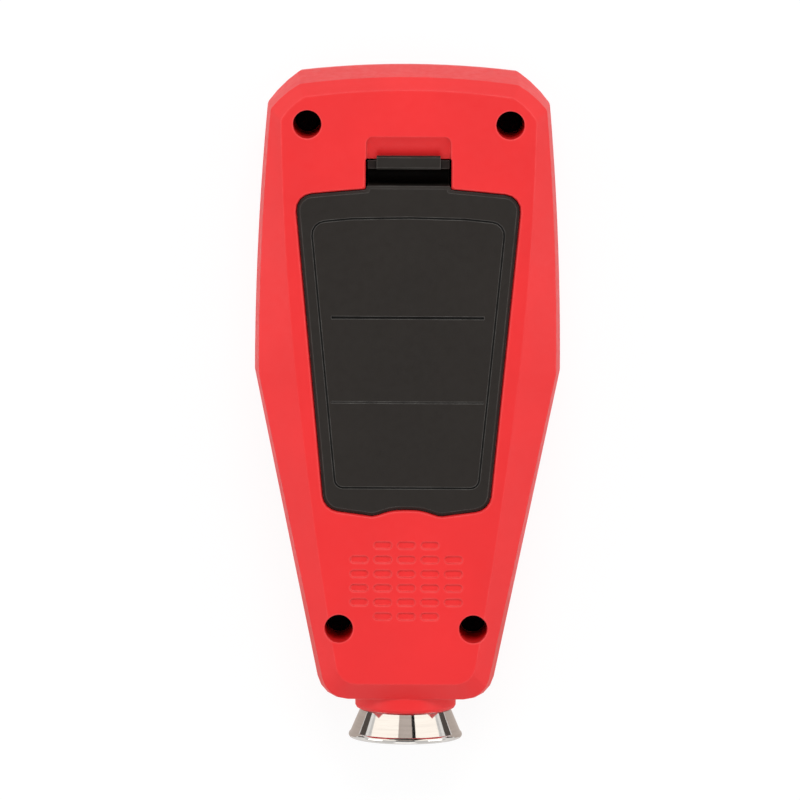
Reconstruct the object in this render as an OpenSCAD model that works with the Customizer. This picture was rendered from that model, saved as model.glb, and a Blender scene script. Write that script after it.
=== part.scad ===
// Coating thickness gauge: a two-part moulded case with a battery cover in its back
// and a sprung measuring probe at its lower end.
// Sizes are in millimetres. The gauge lies on its front, +Z points out of its back,
// +Y points to its top end and the origin is under the middle of the whole box.

/* [Case] */
// Width of the case at its waist
case_w = 52; // [49:0.5:56]
// Length of the moulded case, lower end to crown
case_l = 108.6; // [106:0.2:114]
// Thickness of the case, front rim to back
case_d = 25; // [24.8:0.1:27]
// Height of the seam between the two shells, also the height of the probe's axis
seam_z = 13.6; // [13.6:0.1:14.2]
// Wall of both shells
wall = 2; // [1.6:0.1:2.2]
// Waist, measured down from the crown
waist_from_top = 51.8; // [46:0.2:58]
// Width at the lower end where the side lines would meet the end line
lower_w = 28.5; // [27.5:0.1:32]
// Radius of the two lower corners
lower_r = 5; // [3.5:0.1:6]
// Width between the shoulders
shoulder_w = 47.9; // [46:0.1:49]
// Shoulders, measured down from the crown
shoulder_from_top = 6.4; // [5.4:0.1:7.4]
// Width of the top edge between the shoulder chamfers
brow_w = 37.2; // [34:0.2:40]
// Rise of the crown over the ends of the top edge
brow_from_top = 1.1; // [0.6:0.1:1.6]

/* [Back bevel] */
// Drop of the bevel from the back to the side wall
bevel_d = 2.8; // [2.2:0.1:3.2]
// Width of the bevel at the crown, seen from behind
bevel_top = 2; // [1.4:0.1:2.6]
// Width of the bevel at the shoulders
bevel_shoulder = 1.75; // [1.2:0.05:2.2]
// Width of the bevel at the waist
bevel_waist = 6.35; // [4.5:0.05:7]
// Width of the bevel on the sides of the lower end
bevel_lower = 2.1; // [1.5:0.1:2.6]
// Width of the bevel at the lower end
bevel_end = 2.9; // [2.2:0.1:3.2]
// Lean of the rear side walls
draft_side = 0.8; // [0.4:0.1:1.1]
// Lean of the rear top wall
draft_top = 1.5; // [0.8:0.1:1.8]

/* [Case screws] */
// Diameter of the screw wells
well_d = 4.8; // [4.5:0.1:5.2]
// Distance between the two upper wells
upper_well_span = 34.3; // [33.6:0.1:35]
// Upper wells, measured down from the crown
upper_well_from_top = 9.4; // [9:0.1:10]
// Distance between the two lower wells
lower_well_span = 22.8; // [22.2:0.1:23.6]
// Lower wells, measured up from the lower end
lower_well_from_end = 13.5; // [13:0.1:14.5]
// Reach of the wells past the seam
well_reach = 4.8; // [2:0.1:5]
// Diameter of the screw thread
screw_d = 2.2; // [2:0.1:2.4]
// Diameter of the screw head
screw_head_d = 4.2; // [3.8:0.1:4.3]

/* [Battery cover] */
// Width of the cover opening at its upper corners
bay_w = 38.4; // [36:0.1:39.4]
// Width of the cover opening at its lower corners
bay_lower_w = 28.2; // [26.5:0.1:29]
// Upper edge of the opening, measured down from the crown
bay_from_top = 20.3; // [20:0.1:20.8]
// Length of the opening
bay_l = 55.6; // [54.6:0.1:57]
// Thickness of the cover plate
cover_t = 1.8; // [1.5:0.1:2]
// Depth of the cover's face under the back
cover_sink = 0.2; // [0.1:0.05:0.5]
// Gap between the cover and the edge of its opening
cover_gap = 0.16; // [0.15:0.01:0.35]
// Width of the chamfer round the cover's face
cover_chamfer = 0.5; // [0.3:0.05:0.8]
// Width of the latch notch
notch_w = 14.5; // [13:0.1:16]
// Width of the latch bar
latch_bar_w = 10.8; // [9.4:0.1:11.4]
// Thickness of the latch legs
latch_t = 1.1; // [0.9:0.1:1.2]
// Free gap in the latch loop
latch_gap = 2.75; // [2.4:0.05:2.85]
// Length of the finger scoop
scoop_l = 3.9; // [3:0.1:4.4]
// Depth of the finger scoop at the latch
scoop_d = 2.4; // [2.2:0.1:2.9]
// Width of the two hooks at the foot of the cover
hook_w = 5; // [4:0.1:5.6]

/* [Grip] */
// Length of one grip dash
dash_l = 3; // [2.4:0.1:3.4]
// Width of one grip dash
dash_w = 1.2; // [0.9:0.05:1.5]
// Depth of the dashes
dash_d = 0.3; // [0.2:0.05:0.7]
// Distance between dash columns
dash_pitch_x = 4; // [3.8:0.05:4.3]
// Distance between dash rows
dash_pitch_y = 2.43; // [2.2:0.01:2.6]
// Middle of the grip, measured up from the lower end
grip_from_end = 21.7; // [21:0.1:22.6]

/* [Cells] */
// Diameter of one cell
cell_d = 10.5; // [10.2:0.1:10.5]
// Length of one cell over its button
cell_l = 44.5; // [43.5:0.1:44.6]

/* [Front] */
// Width of the front rim and its rounded edge
rim_w = 5.4; // [4.8:0.1:5.8]
// Depth of the face recess
recess_d = 1.6; // [1.5:0.1:1.8]
// Thickness of the face panel
panel_t = 0.8; // [0.6:0.1:0.9]
// Width of the display lens
lens_w = 33; // [31:0.2:35]
// Height of the display lens
lens_h = 33; // [31:0.2:34]
// Middle of the display, measured down from the crown
display_from_top = 30.7; // [30.2:0.1:31.4]
// Width of a key
key_w = 10.6; // [9:0.1:11.2]
// Height of a key
key_h = 7.4; // [6.4:0.1:8.4]
// Distance between the two key columns
key_pitch_x = 14.4; // [13.6:0.1:15]
// Distance between the two key rows
key_pitch_y = 12.6; // [11:0.1:13]
// Upper key row, measured down from the crown
keys_from_top = 61; // [60.4:0.1:62]
// Travel of a key
key_travel = 0.6; // [0.3:0.05:0.6]
// Gap round a key
key_gap = 0.2; // [0.15:0.05:0.3]

/* [Board] */
// Thickness of the circuit board
board_t = 1.6; // [1.2:0.1:1.6]
// Diameter of the buzzer
buzzer_d = 9; // [8:0.1:9.4]
// Height of the buzzer
buzzer_h = 4.5; // [3.5:0.1:5.5]

/* [Probe] */
// Outer diameter of the collar
collar_d = 17.2; // [16.8:0.1:17.6]
// Length of the collar below the case
collar_l = 1.6; // [1.2:0.1:2.2]
// Diameter of the probe tube
tube_d = 15.2; // [14.8:0.1:15.4]
// Largest diameter of the flared skirt
skirt_d = 19.4; // [18.6:0.1:20.4]
// Length of the flared skirt
skirt_l = 5; // [4.4:0.1:5.6]
// Diameter of the sensor core
core_d = 6; // [5:0.1:6.4]
// Reach of the sensor tip past the skirt
tip_out = 0.8; // [0.4:0.05:1]
// Travel of the sensor
sensor_travel = 1.2; // [0.6:0.1:1.4]

/* [Hidden] */
$fn = 64;
slack = 0.05;
eps = 0.02;
mould_red = [0.84, 0.10, 0.11];
mould_black = [0.10, 0.10, 0.10];
steel = [0.72, 0.73, 0.75];

// Heights along the gauge
overall_l = case_l + collar_l + skirt_l + tip_out;
top_y = overall_l / 2;
end_y = top_y - case_l;
lip_y = end_y - collar_l;
foot_y = lip_y - skirt_l;
tip_y = foot_y - tip_out;
waist_y = top_y - waist_from_top;

// Outlines of the case at the seam, under the bevel and on the back
draft_end = 1.1;
bevel_z = case_d - bevel_d;
seam_path = outline(lower_w / 2, end_y, lower_r, 0, case_w / 2, waist_y,
    (case_w - shoulder_w) / 4, shoulder_w / 2, top_y - shoulder_from_top,
    brow_w / 2, top_y - brow_from_top, top_y);
bevel_path = outline(lower_w / 2 - draft_side, end_y + draft_end, lower_r - 0.5, 0,
    case_w / 2 - draft_side, waist_y, (case_w - shoulder_w) / 4,
    shoulder_w / 2 - 0.75 * draft_side, top_y - shoulder_from_top - 0.4 * draft_top,
    brow_w / 2 - 0.2 * draft_side, top_y - brow_from_top - 1.1 * draft_top, top_y - draft_top);
back_path = outline(lower_w / 2 - draft_side - bevel_lower, end_y + draft_end + bevel_end,
    lower_r - 1.5, 0.9, case_w / 2 - draft_side - bevel_waist, waist_y, 1,
    shoulder_w / 2 - 0.75 * draft_side - bevel_shoulder,
    top_y - shoulder_from_top - 0.4 * draft_top - 0.8 * bevel_top,
    brow_w / 2 - 0.2 * draft_side - 0.4 * bevel_top,
    top_y - brow_from_top - 1.1 * draft_top - bevel_top, top_y - draft_top - bevel_top);
seam_reveal = 0.2;
roof_z = case_d - wall;

// Front cover
floor_z = recess_d + 1.6;
tongue_h = 1;
tongue_t = 0.8;

// Screw wells and their bosses
upper_well_y = top_y - upper_well_from_top;
lower_well_y = end_y + lower_well_from_end;
wells = [[upper_well_span / 2, upper_well_y], [-upper_well_span / 2, upper_well_y],
    [lower_well_span / 2, lower_well_y], [-lower_well_span / 2, lower_well_y]];
well_wall = 1.4;
well_gap = 0.15;
well_foot_z = seam_z - well_reach;
well_floor_t = 1.6;
screw_seat_z = well_foot_z + well_floor_t;
screw_head_h = 1.7;
boss_floor_t = 0.8;
screw_reach = well_foot_z - floor_z - boss_floor_t;
screw_end_gap = 1;
boss_d = 6.4;

// Cover opening, with the latch notch at its upper edge
tray_wall = 1.2;
spring_room = 3.8;
plate_room = 0.8;
hook_room = 3.5;
tongue_out = 0.55;
latch_room = latch_t - tongue_out + 0.25;
bay_run = max(bay_l, hook_room + cell_l + spring_room + plate_room + tray_wall + latch_room);
bay_top_y = top_y - bay_from_top;
bay_foot_y = bay_top_y - bay_run;
ledge_y = bay_top_y + 5;
scoop_y = ledge_y + scoop_l;
scoop_turn = 12;
lobe_x = 6;
lobe_rise = 1.05;
ledge_w = 1.2;
skirt_grow = 1.4;
bay_edge_w = 0.2;
bay_edge_d = 0.5;
cover_chamfer_d = 0.6 * cover_chamfer;
cover_top_z = case_d - cover_sink;
cover_foot_z = cover_top_z - cover_t;
ledge_z = cover_foot_z - 0.1;
rim_z = ledge_z - 1.3;
tongue_y = bay_top_y + tongue_out;
line_w = 0.3;
line_d = 0.25;
rule_w = 25.8;
// Ruled grooves of the cover as place under the opening's upper edge, width and depth
rules = [[21.8, 0.42, 0.35], [36.2, 0.26, 0.1]];
cover_rib_w = 20;
cover_rib_t = 1.2;
pivot_y = bay_foot_y;
pivot_z = case_d - 0.1;

// Latch loop in the side view
latch_inner_y = tongue_y - latch_t;
latch_mid_y = tongue_y + latch_gap / 2;
latch_outer_y = tongue_y + latch_gap + latch_t;
latch_mid_z = case_d - 8.5;
latch_side = 0.35;
ear_z = case_d - 2.7;

// Battery tray, cells and contacts
cell_seat = 0.2;
cell_cover_gap = 0.8;
cell_z = cover_foot_z - cell_cover_gap - cell_d / 2;
cell_x = cell_d / 2 + 0.4;
tray_floor_z = cell_z - cell_d / 2 - cell_seat;
tray_foot_z = tray_floor_z - 1;
tray_leg_x = 9;
tray_leg_d = 3;
contact_t = 0.4;
contact_w = 8;
contact_down = contact_w / 2;
contact_up = cell_d * 2 / 7;
tail_w = 3;
button_d = 3;
bay_end_y = bay_foot_y + hook_room;
bay_head_y = bay_end_y + cell_l + spring_room + plate_room;
cell_left_y = bay_end_y + spring_room;
cell_right_y = bay_end_y + plate_room;
spring_wire = 0.6;
spring_wide = cell_d / 2 - 1.85;
spring_narrow = cell_d / 2 - 3.05;
spring_turns = 4;

// Display
display_y = top_y - display_from_top;
lcd_w = lens_w - 0.6;
lcd_h = lens_h - 2;
lcd_z = floor_z + 0.1;
lcd_t = 1.8;
lcd_frame_t = 1.3;

// Circuit board, its posts and what stands on it
board_room = 1.3;
board_z = tray_foot_z - board_room - board_t;
board_back_z = board_z + board_t;
light_gap = 0.9;
light_t = max(0.6, board_z - lcd_z - lcd_t - light_gap);
board_top_y = top_y - 13.7;
buzzer_gap = 0.35;
board_end_y = bay_foot_y - skirt_grow - buzzer_d - 2 * buzzer_gap;
post_d = 4.2;
post_gap = 0.2;
post_upper = [lcd_w / 2 + lcd_frame_t + post_d / 2 + post_gap, display_y];
post_lower_x = 12.5;
post_from_end = 5;
post_lower = [post_lower_x, board_end_y + post_from_end];
posts = [post_upper, [-post_upper[0], post_upper[1]], post_lower, [-post_lower[0], post_lower[1]]];
post_screw_d = 1.6;
post_head_d = 3.4;
post_head_h = 1;
buzzer_x = -5.2;
socket_x = 6;
socket_w = 6;
socket_l = 4.5;
socket_in = 1;
socket_h = 3.6;
socket_bore = 2.4;
socket_bore_z = board_back_z + 2.2;
switch_w = 6;
plunger_d = 3;
// Chips as their middle from the waist, width, length and height
chips = [[0, 1, 10, 10, 1], [0, 17, 6, 6, 1], [-14, 0.5, 4, 7, 0.9], [13.5, 1.5, 3, 7, 0.9]];

// Keys, laid out in two rows of two
key_face_z = recess_d - panel_t - 0.6;
key_flange = 0.8;
key_flange_t = 0.5;
key_row_1 = top_y - keys_from_top;
key_row_2 = key_row_1 - key_pitch_y;
key_back_z = floor_z + slack + key_flange_t;
switch_face_z = key_back_z + key_travel + slack;

// Probe, measured along its axis from the foot of the skirt
tube_fit = 0.1;
flange_d = tube_d + 1.6;
flange_y = end_y + wall + 0.1;
flange_t = 1.6;
rib_t = 1.6;
rib_w = 22;
neck_y = flange_y + flange_t + rib_t + 0.2 + 3;
neck_d = 12.6;
cap_t = 1;
cap_gap = 1.1;
cap_bore = 3;
plug_t = 2;
tube_end_y = board_end_y - cap_t - cap_gap;
shelf_y = foot_y + 2.4;
chamber_y = end_y - 0.4;
chamber_d = 11.8;
neck_bore_d = 10.8;
lead_d = 1.6;
roll_r = 0.55;
roll_turn = 130;
roll_steps = 14;
cone_top_r = tube_d / 2 + 0.15;
bobbin_d = 11;
bobbin_l = 6;
bobbin_y = chamber_y + slack;
hub_d = core_d + 1.2;
coil_d = bobbin_d - 0.8;
bobbin_flange_t = 0.8;
spring_end_y = tube_end_y - plug_t;

// Path helpers
function unit(v) = v / norm(v);
function curve(a, b, c, n) = [for (i = [1 : n - 1]) let (t = i / n)
    [a[0] * (1 - t) * (1 - t) + 2 * b[0] * t * (1 - t) + c[0] * t * t,
     a[1] * (1 - t) * (1 - t) + 2 * b[1] * t * (1 - t) + c[1] * t * t, 0]];
function mirrored(half) = concat(half, [for (i = [len(half) - 1 : -1 : 0])
    if (half[i][0] > 0.001) [-half[i][0], half[i][1], half[i][2]]]);
function corner(a, p, b, r, n) = r == 0 ? [p] : let (
    u = unit(a - p), v = unit(b - p), half = acos(u * v) / 2,
    c = p + unit(u + v) * r / sin(half), s = p + u * r / tan(half) - c,
    e = p + v * r / tan(half) - c, turn = 180 - 2 * half,
    way = s[0] * e[1] - s[1] * e[0] > 0 ? 1 : -1)
    [for (i = [0 : n]) let (w = way * turn * i / n)
        c + [s[0] * cos(w) - s[1] * sin(w), s[0] * sin(w) + s[1] * cos(w)]];
function xy(p) = [p[0], p[1]];
function rounded(path, n) = let (m = len(path)) [for (i = [0 : m - 1])
    each corner(xy(path[(i + m - 1) % m]), xy(path[i]), xy(path[(i + 1) % m]), path[i][2], n)];
function inset(path, d) = let (m = len(path)) [for (i = [0 : m - 1]) let (
    p = xy(path[i]), a = unit(p - xy(path[(i + m - 1) % m])), b = unit(xy(path[(i + 1) % m]) - p),
    na = [-a[1], a[0]], nb = [-b[1], b[0]], q = p + (na + nb) * d / (1 + na * nb))
    [q[0], q[1], path[i][2] == 0 ? 0 : max(0.3, path[i][2] - d)]];
function ring(path, d = 0) = rounded(inset(path, d), 4);

// Case outline at one height, from the lower end round to the crown
function outline(end_x, end_at, end_r, low_out, waist_x, waist_at, flank_out,
        shoulder_x, shoulder_at, brow_x, brow_at, crown_at) = let (
    low = [end_x, end_at], waist = [waist_x, waist_at],
    shoulder = [shoulder_x, shoulder_at], brow = [brow_x, brow_at], crown = [0, crown_at],
    low_mid = (low + waist) / 2 + [low_out, 0],
    flank_mid = (waist + shoulder) / 2 + [flank_out, 0],
    chamfer_mid = (shoulder + brow) / 2 + [0.45, 0.45],
    crown_mid = [brow_x / 2, crown_at])
    mirrored(concat(
        [[end_x, end_at, end_r]], curve(low, low_mid, waist, 8),
        [[waist_x, waist_at, 3]], curve(waist, flank_mid, shoulder, 12),
        [[shoulder_x, shoulder_at, 1.4]], curve(shoulder, chamfer_mid, brow, 3),
        [[brow_x, brow_at, 1.4]], curve(brow, crown_mid, crown, 6),
        [[0, crown_at, 0]]));

// Cover opening with a notch that ends at notch_at
function bay_path(notch_at) = let (hw = bay_w / 2, lw = bay_lower_w / 2)
    mirrored(concat(
        [for (i = [0 : 7]) [lobe_x * i / 8,
            bay_foot_y + lobe_rise * (1 + cos(180 * pow(i / 8, 1.6))) / 2, 0]],
        [[lobe_x, bay_foot_y, 0.8], [lw, bay_foot_y + 1.1, 3], [hw, bay_top_y - 1.1, 2.8],
         [hw * 0.62, bay_top_y - 0.4, 0], [notch_w / 2, bay_top_y, 0.4],
         [notch_w / 2, notch_at, 0.4]]));

// Solid between rings of equal point count, with both ends fanned from the middle of their length
module loft(rings) {
    n = len(rings[0][1]);
    last = len(rings) - 1;
    foot_mid = n * len(rings);
    top_mid = foot_mid + 1;
    function middle(r) = let (ys = [for (p = r[1]) p[1]]) [0, (min(ys) + max(ys)) / 2, r[0]];
    polyhedron(points = concat([for (r = rings) each [for (p = r[1]) [p[0], p[1], r[0]]]],
            [middle(rings[0]), middle(rings[last])]),
        faces = [for (i = [0 : n - 1]) each let (j = (i + 1) % n) concat(
            [[i, j, foot_mid], [last * n + j, last * n + i, top_mid]],
            [for (k = [0 : last - 1]) each
                [[k * n + i, (k + 1) * n + i, (k + 1) * n + j],
                 [k * n + i, (k + 1) * n + j, k * n + j]]])]);
}

// Round wire swept along a path of points
module wire(path, r, sides = 8) {
    n = len(path);
    function along(i) = unit(path[min(i + 1, n - 1)] - path[max(i - 1, 0)]);
    function across(d) = unit(cross(d, abs(d[2]) > 0.9 ? [1, 0, 0] : [0, 0, 1]));
    polyhedron(points = [for (i = [0 : n - 1]) let (d = along(i), a = across(d), b = cross(d, a))
            each [for (k = [0 : sides - 1]) path[i] + r * (a * cos(360 * k / sides) + b * sin(360 * k / sides))]],
        faces = concat([[for (k = [0 : sides - 1]) k]],
            [[for (k = [sides - 1 : -1 : 0]) (n - 1) * sides + k]],
            [for (i = [0 : n - 2]) each [for (k = [0 : sides - 1]) each let (m = (k + 1) % sides)
                [[i * sides + k, (i + 1) * sides + k, (i + 1) * sides + m],
                 [i * sides + k, (i + 1) * sides + m, i * sides + m]]]]));
}

// Coil along +Y from y0 to y1 with radius r0 at its start and r1 at its end
function coil(x, z, y0, y1, r0, r1, turns, steps = 14) = [for (i = [0 : turns * steps])
    let (t = i / (turns * steps), w = 360 * i / steps, r = r0 + (r1 - r0) * t)
    [x + r * cos(w), y0 + (y1 - y0) * t, z + r * sin(w)]];

// Extrudes a side view, drawn as Y across and Z up, to a width along X
module across_x(w) {
    rotate([90, 0, 90]) translate([0, 0, -w / 2]) linear_extrude(w) children();
}

// Round bar along +Y on the probe's axis
module on_axis(y, d, l) {
    translate([0, y, seam_z]) rotate([-90, 0, 0]) cylinder(d = d, h = l, $fn = 96);
}

// Turned shape on the probe's axis, drawn as radius across and Y up
module turned() {
    translate([0, 0, seam_z]) rotate([-90, 0, 0]) rotate_extrude($fn = 96) children();
}

module block(x0, x1, y0, y1, z0, z1) {
    translate([x0, y0, z0]) cube([x1 - x0, y1 - y0, z1 - z0]);
}

// Rounded rectangle about the origin
module slab(w, h, r) {
    square([w - 2 * r, h], center = true);
    square([w, h - 2 * r], center = true);
    for (x = [-1, 1], y = [-1, 1]) translate([x * (w / 2 - r), y * (h / 2 - r)]) circle(r, $fn = 32);
}

// Case shells
module rear_outer() {
    loft([[seam_z, ring(seam_path, seam_reveal)], [seam_z + 0.25, ring(seam_path)],
        [bevel_z, ring(bevel_path)], [case_d, ring(back_path)]]);
}

module rear_cavity() {
    loft([[seam_z - 1, ring(seam_path, wall)], [bevel_z - wall * 0.8, ring(bevel_path, wall)],
        [roof_z, ring(back_path, wall)]]);
    translate([0, 0, seam_z - 1]) linear_extrude(1 + tongue_h + 0.1)
        polygon(ring(seam_path, wall - tongue_t - 0.2));
}

module front_outer() {
    loft([[0, ring(seam_path, 2.6)], [0.35, ring(seam_path, 1.75)], [1, ring(seam_path, 1.05)],
        [2, ring(seam_path, 0.65)], [3.4, ring(seam_path, 0.45)],
        [seam_z - 0.25, ring(seam_path)], [seam_z, ring(seam_path, seam_reveal)]]);
}

module front_cavity() {
    loft([[floor_z, ring(seam_path, wall + 0.5)], [seam_z + 1, ring(seam_path, wall)]]);
}

// Collar round the probe tube, one half on each shell
module collar() {
    turned() polygon([[0, lip_y], [collar_d / 2 - 0.8, lip_y], [collar_d / 2 - 0.25, lip_y + 0.25],
        [collar_d / 2, lip_y + 0.7], [collar_d / 2, end_y + wall], [0, end_y + wall]]);
}

module probe_bore() {
    on_axis(lip_y - 1, tube_d + 2 * tube_fit, neck_y - lip_y + 1);
    on_axis(flange_y - 0.1, flange_d + 2 * tube_fit, flange_t + 0.2);
    on_axis(neck_y - eps, neck_d + 1.2, tube_end_y - neck_y + 2);
}

// Opening for the cover, stepped to leave a ledge under the plate
module bay_cut() {
    loft([[ledge_z, ring(bay_path(ledge_y))], [case_d - bay_edge_d, ring(bay_path(ledge_y))],
        [case_d + bay_edge_d, ring(bay_path(ledge_y), -2 * bay_edge_w)]]);
    translate([0, 0, seam_z]) linear_extrude(case_d) polygon(ring(bay_path(ledge_y), ledge_w));
    block(-notch_w / 2, notch_w / 2, bay_top_y - 2, ledge_y, seam_z, case_d + 1);
}

module scoop() {
    slope = atan(scoop_d / scoop_l);
    r = norm([scoop_d, scoop_l]) / 2 / sin(scoop_turn);
    middle = [ledge_y, case_d - scoop_d] + r * [-sin(slope - scoop_turn), cos(slope - scoop_turn)];
    intersection() {
        across_x(notch_w) polygon(concat(
            [for (i = [0 : 10]) let (w = slope + scoop_turn * (i / 5 - 1)) middle + r * [sin(w), -cos(w)]],
            [[scoop_y, case_d + 1], [ledge_y - 1, case_d + 1], [ledge_y - 1, case_d - scoop_d]]));
        translate([0, ledge_y, case_d - scoop_d - 1]) linear_extrude(scoop_d + 2)
            slab(notch_w - 0.2, 2 * scoop_l, 1.2);
    }
}

module hook_cut() {
    for (x = [-lobe_x, lobe_x])
        block(x - hook_w / 2 - 0.4, x + hook_w / 2 + 0.4, pivot_y - 1.9, pivot_y + 5,
            rim_z - 0.7, roof_z - 0.04);
}

module rear_cover() {
    color(mould_red) difference() {
        union() {
            difference() {
                union() {
                    rear_outer();
                    intersection() {
                        collar();
                        block(-collar_d, collar_d, lip_y - 1, end_y + 2 * wall, seam_z, case_d);
                    }
                }
                rear_cavity();
            }
            for (p = wells) translate([p[0], p[1], well_foot_z])
                cylinder(d = well_d + 2 * well_wall, h = seam_z + 1 - well_foot_z);
            intersection() {
                rear_outer();
                union() {
                    for (p = wells) translate([p[0], p[1], seam_z])
                        cylinder(d = well_d + 2 * well_wall, h = case_d);
                    translate([0, 0, rim_z]) linear_extrude(case_d)
                        polygon(ring(bay_path(ledge_y), -skirt_grow));
                    block(-notch_w / 2 - skirt_grow, notch_w / 2 + skirt_grow, ledge_y, scoop_y + 1,
                        rim_z, case_d);
                    block(-rib_w / 2, rib_w / 2, flange_y + flange_t + 0.1,
                        flange_y + flange_t + 0.1 + rib_t, seam_z + 0.1, case_d);
                }
            }
        }
        for (p = wells) {
            translate([p[0], p[1], screw_seat_z]) cylinder(d = well_d, h = case_d);
            translate([p[0], p[1], well_foot_z - 1]) cylinder(d = screw_d + 0.3, h = case_d);
        }
        bay_cut();
        hook_cut();
        scoop();
        for (row = [0 : 5], col = [-2 : 2])
            if ((row > 0 && row < 5) || abs(col) < 2)
                translate([col * dash_pitch_x, end_y + grip_from_end + (2.5 - row) * dash_pitch_y,
                        case_d - dash_d])
                    linear_extrude(2) slab(dash_l, dash_w, dash_w / 2 - 0.05);
        probe_bore();
    }
}

module front_cover() {
    color(mould_red) difference() {
        union() {
            difference() {
                union() {
                    front_outer();
                    intersection() {
                        collar();
                        block(-collar_d, collar_d, lip_y - 1, end_y + 2 * wall, 0, seam_z);
                    }
                }
                front_cavity();
            }
            translate([0, 0, seam_z - 1]) linear_extrude(1 + tongue_h) difference() {
                polygon(ring(seam_path, wall - tongue_t - 0.1));
                polygon(ring(seam_path, wall));
            }
            for (p = wells) translate([p[0], p[1], floor_z - 0.5])
                cylinder(d = boss_d, h = well_foot_z - floor_z + 0.5);
            for (p = posts) translate([p[0], p[1], floor_z - 0.5])
                cylinder(d = post_d, h = board_z - floor_z + 0.5);
            block(-rib_w / 2, rib_w / 2, flange_y + flange_t + 0.1, flange_y + flange_t + 0.1 + rib_t,
                floor_z - 0.5, seam_z);
        }
        translate([0, 0, -1]) linear_extrude(1 + recess_d) polygon(ring(seam_path, rim_w));
        for (p = wells) {
            translate([p[0], p[1], well_foot_z - screw_reach])
                cylinder(d = screw_d + 2 * slack, h = case_d);
            translate([p[0], p[1], well_foot_z])
                cylinder(d = well_d + 2 * (well_wall + well_gap), h = case_d);
        }
        for (p = posts) translate([p[0], p[1], floor_z]) cylinder(d = post_screw_d + 2 * slack, h = case_d);
        translate([0, display_y, -1]) linear_extrude(case_d) slab(lcd_w - 2.4, lcd_h - 2.4, 0.6);
        key_places() translate([0, 0, -1]) linear_extrude(1 + floor_z + 1)
            slab(key_w + 2 * key_gap, key_h + 2 * key_gap, 2 + key_gap);
        probe_bore();
    }
}

// Battery cover with its latch loop and hooks
module battery_cover() {
    plate = inset(bay_path(tongue_y + cover_gap), cover_gap);
    line = mirrored([[bay_lower_w / 2 - 1.85, bay_foot_y + 4.7, 1.6],
        [bay_w / 2 - 2.6, bay_top_y - 5.6, 2.4], [bay_w / 4, bay_top_y - 4.9, 0],
        [0, bay_top_y - 4.7, 0]]);
    color(mould_black) {
        difference() {
            loft([[cover_foot_z, ring(plate)], [cover_top_z - cover_chamfer_d, ring(plate)],
                [cover_top_z, ring(plate, cover_chamfer)]]);
            translate([0, 0, cover_top_z - line_d]) linear_extrude(1) difference() {
                polygon(ring(line));
                polygon(ring(line, line_w));
            }
            for (rule = rules)
                block(-rule_w / 2, rule_w / 2, bay_top_y - rule[0] - rule[1] / 2,
                    bay_top_y - rule[0] + rule[1] / 2, cover_top_z - rule[2], case_d);
        }
        across_x(notch_w - 2 * latch_side) difference() {
            union() {
                translate([latch_mid_y, latch_mid_z]) circle(latch_gap / 2 + latch_t, $fn = 48);
                translate([latch_inner_y, latch_mid_z])
                    square([2 * latch_t + latch_gap, ear_z - latch_mid_z]);
                translate([latch_outer_y - eps, ear_z - 0.9]) square([0.35, 0.9]);
                translate([latch_inner_y, ear_z - eps]) square([latch_t, cover_foot_z + 0.3 - ear_z]);
            }
            translate([latch_mid_y, latch_mid_z]) circle(latch_gap / 2, $fn = 48);
            translate([tongue_y, latch_mid_z]) square([latch_gap, case_d]);
        }
        across_x(latch_bar_w) polygon([[latch_outer_y - latch_t, ear_z - 0.5],
            [latch_outer_y - latch_t, case_d - 1.05], [latch_outer_y - latch_t + 0.25, case_d - 0.8],
            [latch_outer_y + 0.9, case_d - 0.8], [latch_outer_y + 1.2, case_d - 1.1],
            [latch_outer_y + 1.2, case_d - 1.6], [latch_outer_y, case_d - 1.9],
            [latch_outer_y, ear_z - 0.5]]);
        for (x = [-lobe_x, lobe_x]) {
            block(x - hook_w / 2, x + hook_w / 2, pivot_y - 1.4, pivot_y + hook_room,
                rim_z + 0.1, cover_foot_z - 0.1);
            block(x - hook_w / 2, x + hook_w / 2, pivot_y + 1.3, pivot_y + hook_room,
                rim_z + 0.1, cover_foot_z + 0.1);
        }
        for (y = [bay_end_y + cell_l * 0.3, bay_end_y + cell_l * 0.8])
            block(-cover_rib_w / 2, cover_rib_w / 2, y - cover_rib_t / 2, y + cover_rib_t / 2,
                cell_z + cell_d / 2 + 0.15, cover_foot_z + 0.1);
    }
}

module battery_tray() {
    color(mould_black) difference() {
        union() {
            difference() {
                translate([0, 0, tray_foot_z]) linear_extrude(rim_z - tray_foot_z)
                    polygon(ring(bay_path(ledge_y), -skirt_grow));
                translate([0, 0, tray_floor_z]) linear_extrude(case_d)
                    polygon(ring(bay_path(ledge_y), tray_wall - skirt_grow));
            }
            for (s = [-1, 1]) {
                block(min(s * (cell_x + cell_d / 2 + 0.25), s * (cell_x + cell_d / 2 + 1.35)),
                    max(s * (cell_x + cell_d / 2 + 0.25), s * (cell_x + cell_d / 2 + 1.35)),
                    bay_end_y - tray_wall, bay_head_y + tray_wall, tray_floor_z - 0.5, cell_z + 1.5);
                for (y = [bay_end_y + 10, bay_head_y - 9])
                    translate([s * tray_leg_x, y, board_back_z])
                        cylinder(d = tray_leg_d, h = tray_floor_z - board_back_z - 0.5);
            }
            block(-0.3, 0.3, bay_end_y, bay_head_y - plate_room, tray_floor_z - 0.5, cell_z - 1.5);
            for (y = [bay_end_y - tray_wall, bay_head_y])
                block(-cell_x - cell_d / 2 - 1, cell_x + cell_d / 2 + 1, y, y + tray_wall,
                    tray_floor_z - 0.5, cell_z + 3.4);
        }
        hook_cut();
        for (s = [-1, 1])
            block(s * cell_x - tail_w / 2 - 0.2, s * cell_x + tail_w / 2 + 0.2,
                bay_end_y - eps, bay_end_y + contact_t + 0.1,
                tray_foot_z - 1, tray_floor_z + eps);
    }
}

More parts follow.
